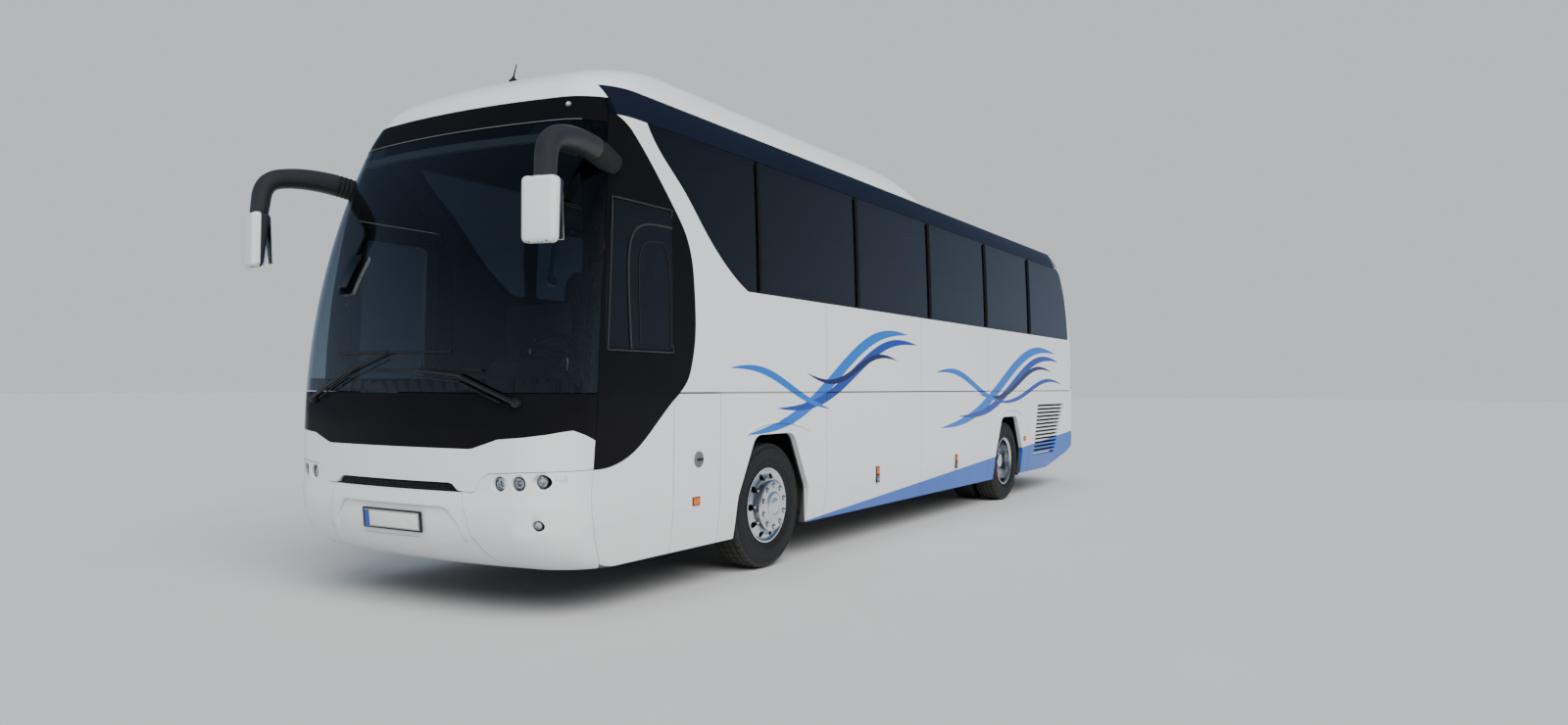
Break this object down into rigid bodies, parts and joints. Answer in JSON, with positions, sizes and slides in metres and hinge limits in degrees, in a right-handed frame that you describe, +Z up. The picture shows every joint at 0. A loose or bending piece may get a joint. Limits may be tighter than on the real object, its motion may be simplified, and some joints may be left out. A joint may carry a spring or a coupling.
{
  "type": "coach bus",
  "caption": "High-deck two-axle touring coach with hollow cabin, opening doors, luggage flaps, engine cover and roof hatches, steered front wheels and twin rear wheels.",
  "frame": {"origin": "on the ground below the middle of the coach's box", "axes": "+Y to the rear along the coach, +X to the coach's left side, +Z up"},
  "size_m": [3, 12.2289, 3.886],
  "materials": {
    "white_paint": "gloss",
    "black_gloss": "gloss",
    "cove_paint": "gloss",
    "tinted_glass": "polished",
    "screen_glass": "polished",
    "hatch_plastic": "satin",
    "lamp_glass": "polished",
    "tail_lens": "polished",
    "chassis_paint": "satin",
    "engine_iron": "rough",
    "radiator_metal": "satin",
    "arch_plastic": "matt",
    "floor_vinyl": "satin",
    "dash_plastic": "matt",
    "wheel_rim": "satin",
    "seat_fabric": "woven",
    "mirror_plastic": "gloss",
    "wiper_plastic": "matt",
    "tyre_rubber": "matt",
    "rim_metal": "polished"
  },
  "bodies": {
    "coach_body": {"left_side_wall": "white_paint", "right_side_wall": "white_paint", "front_panel": "white_paint", "front_bumper": "white_paint", "roof_shell": "white_paint", "roof_fairing": "white_paint", "rear_wall": "white_paint", "rear_bumper": "white_paint", "front_corner_panels": "black_gloss", "front_mask": "black_gloss", "visor": "black_gloss", "window_frames": "black_gloss", "cove_bands": "cove_paint", "window_glass": "tinted_glass", "windscreen": "screen_glass", "front_lamps": "lamp_glass", "tail_lamps": "tail_lens", "chassis_frame": "chassis_paint", "front_axle_beam": "chassis_paint", "rear_axle": "chassis_paint", "engine_block": "engine_iron", "radiator": "radiator_metal", "wheel_arches": "arch_plastic", "cabin_floor": "floor_vinyl", "front_stairwell": "floor_vinyl", "middle_stairwell": "floor_vinyl", "dashboard": "dash_plastic", "driver_seat": "seat_fabric", "left_seats": "seat_fabric", "right_seats": "seat_fabric", "mirrors": "mirror_plastic", "wipers": "wiper_plastic"},
    "front_left_wheel": {"front_left_tyre": "tyre_rubber", "front_left_rim": "rim_metal"},
    "front_right_wheel": {"front_right_tyre": "tyre_rubber", "front_right_rim": "rim_metal"},
    "rear_left_wheels": {"rear_left_tyres": "tyre_rubber", "rear_left_rims": "rim_metal"},
    "rear_right_wheels": {"rear_right_tyres": "tyre_rubber", "rear_right_rims": "rim_metal"},
    "left_knuckle_body": {"left_knuckle": "chassis_paint"},
    "right_knuckle_body": {"right_knuckle": "chassis_paint"},
    "steering_wheel_body": {"steering_wheel": "wheel_rim"},
    "front_door_arm_body": {"front_door_arm": "chassis_paint"},
    "front_door_body": {"front_door": "white_paint", "front_door_glass": "tinted_glass"},
    "middle_door_arm_body": {"middle_door_arm": "chassis_paint"},
    "middle_door_body": {"middle_door": "white_paint", "middle_door_glass": "tinted_glass"},
    "left_front_flap_body": {"left_front_luggage_flap": "white_paint"},
    "left_rear_flap_body": {"left_rear_luggage_flap": "white_paint"},
    "right_flap_body": {"right_luggage_flap": "white_paint"},
    "service_flap_body": {"left_service_flap": "white_paint"},
    "radiator_flap_body": {"radiator_flap": "white_paint"},
    "engine_cover_body": {"engine_cover": "white_paint"},
    "front_flap_body": {"front_flap": "white_paint"},
    "front_hatch_body": {"front_roof_hatch": "hatch_plastic"},
    "rear_hatch_body": {"rear_roof_hatch": "hatch_plastic"}
  },
  "joints": [
    {"name": "left_steering", "type": "hinge", "parent": "coach_body", "child": "left_knuckle_body", "pos_m": [0.93, -3.19, 0.51], "axis": [0, 0, 1], "range_deg": [-42, 42]},
    {"name": "right_steering", "type": "hinge", "parent": "coach_body", "child": "right_knuckle_body", "pos_m": [-0.93, -3.19, 0.51], "axis": [0, 0, 1], "range_deg": [-42, 42]},
    {"name": "steering_wheel_turn", "type": "hinge", "parent": "coach_body", "child": "steering_wheel_body", "pos_m": [0.62, -5.1, 1.64], "axis": [0, 0.4695, 0.8829], "range_deg": [-760, 760]},
    {"name": "front_left_spin", "type": "hinge", "parent": "left_knuckle_body", "child": "front_left_wheel", "pos_m": [1.075, -3.19, 0.51], "axis": [1, 0, 0], "continuous": true},
    {"name": "front_right_spin", "type": "hinge", "parent": "right_knuckle_body", "child": "front_right_wheel", "pos_m": [-1.075, -3.19, 0.51], "axis": [1, 0, 0], "continuous": true},
    {"name": "rear_left_spin", "type": "hinge", "parent": "coach_body", "child": "rear_left_wheels", "pos_m": [1.075, 2.87, 0.51], "axis": [1, 0, 0], "continuous": true},
    {"name": "rear_right_spin", "type": "hinge", "parent": "coach_body", "child": "rear_right_wheels", "pos_m": [-1.075, 2.87, 0.51], "axis": [1, 0, 0], "continuous": true},
    {"name": "front_door_swing", "type": "hinge", "parent": "coach_body", "child": "front_door_arm_body", "pos_m": [-1.15, -4.57, 1.6], "axis": [0, 0, -1], "range_deg": [0, 160]},
    {"name": "front_door_follow", "type": "hinge", "parent": "front_door_arm_body", "child": "front_door_body", "pos_m": [-1.12, -5.028, 1.6], "axis": [0, 0, -1], "range_deg": [-160, 0]},
    {"name": "middle_door_swing", "type": "hinge", "parent": "coach_body", "child": "middle_door_arm_body", "pos_m": [-1.15, 1.05, 1.3], "axis": [0, 0, -1], "range_deg": [0, 160]},
    {"name": "middle_door_follow", "type": "hinge", "parent": "middle_door_arm_body", "child": "middle_door_body", "pos_m": [-1.12, 0.592, 1.3], "axis": [0, 0, -1], "range_deg": [-160, 0]},
    {"name": "left_front_flap_lift", "type": "hinge", "parent": "coach_body", "child": "left_front_flap_body", "pos_m": [1.276, -1.21, 1.43], "axis": [0, -1, 0], "range_deg": [0, 85]},
    {"name": "left_rear_flap_lift", "type": "hinge", "parent": "coach_body", "child": "left_rear_flap_body", "pos_m": [1.276, 0.959, 1.43], "axis": [0, -1, 0], "range_deg": [0, 85]},
    {"name": "right_flap_lift", "type": "hinge", "parent": "coach_body", "child": "right_flap_body", "pos_m": [-1.276, -1.12, 1.43], "axis": [0, 1, 0], "range_deg": [0, 85]},
    {"name": "service_flap_lift", "type": "hinge", "parent": "coach_body", "child": "service_flap_body", "pos_m": [1.276, -4.29, 1.43], "axis": [0, -1, 0], "range_deg": [0, 85]},
    {"name": "radiator_flap_lift", "type": "hinge", "parent": "coach_body", "child": "radiator_flap_body", "pos_m": [1.276, 4.715, 1.43], "axis": [0, -1, 0], "range_deg": [0, 85]},
    {"name": "engine_cover_lift", "type": "hinge", "parent": "coach_body", "child": "engine_cover_body", "pos_m": [0, 6.0975, 2.044], "axis": [1, 0, 0], "range_deg": [0, 75]},
    {"name": "front_flap_drop", "type": "hinge", "parent": "coach_body", "child": "front_flap_body", "pos_m": [0, -5.93, 0.815], "axis": [-1, 0, 0], "range_deg": [0, 80]},
    {"name": "front_hatch_lift", "type": "hinge", "parent": "coach_body", "child": "front_hatch_body", "pos_m": [0, -2.99, 3.856], "axis": [1, 0, 0], "range_deg": [0, 45]},
    {"name": "rear_hatch_lift", "type": "hinge", "parent": "coach_body", "child": "rear_hatch_body", "pos_m": [0, 2.41, 3.586], "axis": [1, 0, 0], "range_deg": [0, 45]}
  ],
  "couplings": [
    {"joint": "right_steering", "follows": "left_steering", "ratio": 1},
    {"joint": "steering_wheel_turn", "follows": "left_steering", "ratio": 18},
    {"joint": "front_door_follow", "follows": "front_door_swing", "ratio": -1},
    {"joint": "middle_door_follow", "follows": "middle_door_swing", "ratio": -1}
  ]
}
